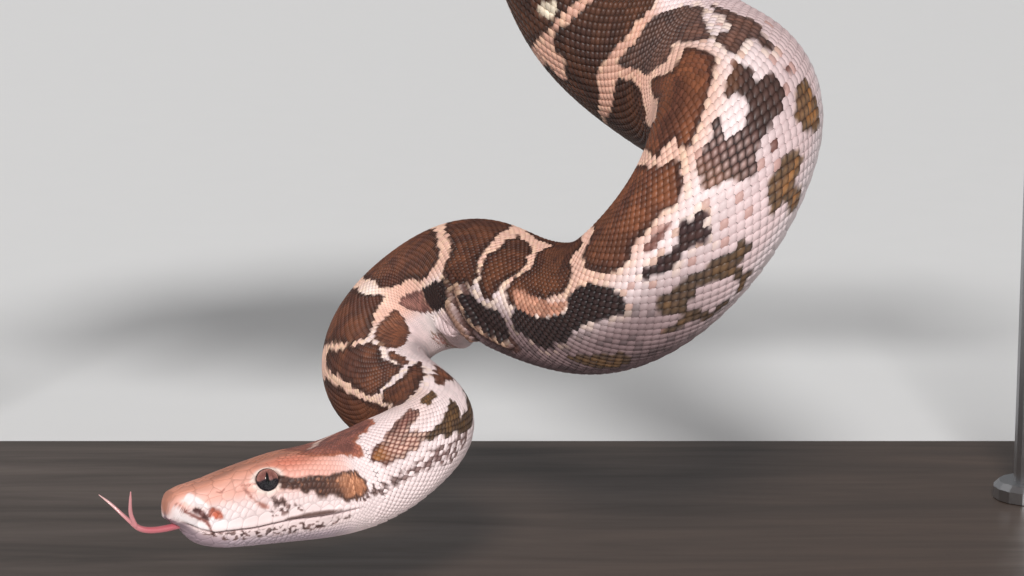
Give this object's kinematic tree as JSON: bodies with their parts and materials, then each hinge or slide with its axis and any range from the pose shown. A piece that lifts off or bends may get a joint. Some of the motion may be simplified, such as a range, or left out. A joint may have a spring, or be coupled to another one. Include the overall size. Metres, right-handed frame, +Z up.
{
  "type": "hanging python model on a branch and display stand",
  "caption": "Life-size still model of an Indian python hanging in loops from a cut branch that its body and tail grip, on a flat display stand.",
  "frame": {"origin": "centre of the underside of the display base", "axes": "+Z up; +X along the branch, to the right of someone facing the front of the stand; the front, where the head hangs, faces -Y"},
  "size_m": [0.52, 0.2554, 0.3661],
  "materials": {
    "snake_skin": "scaled, satin",
    "eye": "glossy",
    "tongue": "moist satin",
    "branch_wood": "rough bark",
    "base_board": "matte paint",
    "rod_steel": "brushed"
  },
  "bodies": {
    "root": {"head": "snake_skin", "lower_jaw": "snake_skin", "eye_left": "eye", "eye_right": "eye", "tongue": "tongue", "neck": "snake_skin", "trunk_1": "snake_skin", "trunk_2": "snake_skin", "trunk_3": "snake_skin", "trunk_4": "snake_skin", "trunk_5": "snake_skin", "trunk_6": "snake_skin", "trunk_7": "snake_skin", "trunk_8": "snake_skin", "trunk_9": "snake_skin", "trunk_10": "snake_skin", "trunk_11": "snake_skin", "trunk_12": "snake_skin", "tail_1": "snake_skin", "tail_2": "snake_skin", "perch_branch": "branch_wood", "stand_base": "base_board", "stand_rod_left": "rod_steel", "stand_rod_right": "rod_steel"}
  },
  "joints": []
}
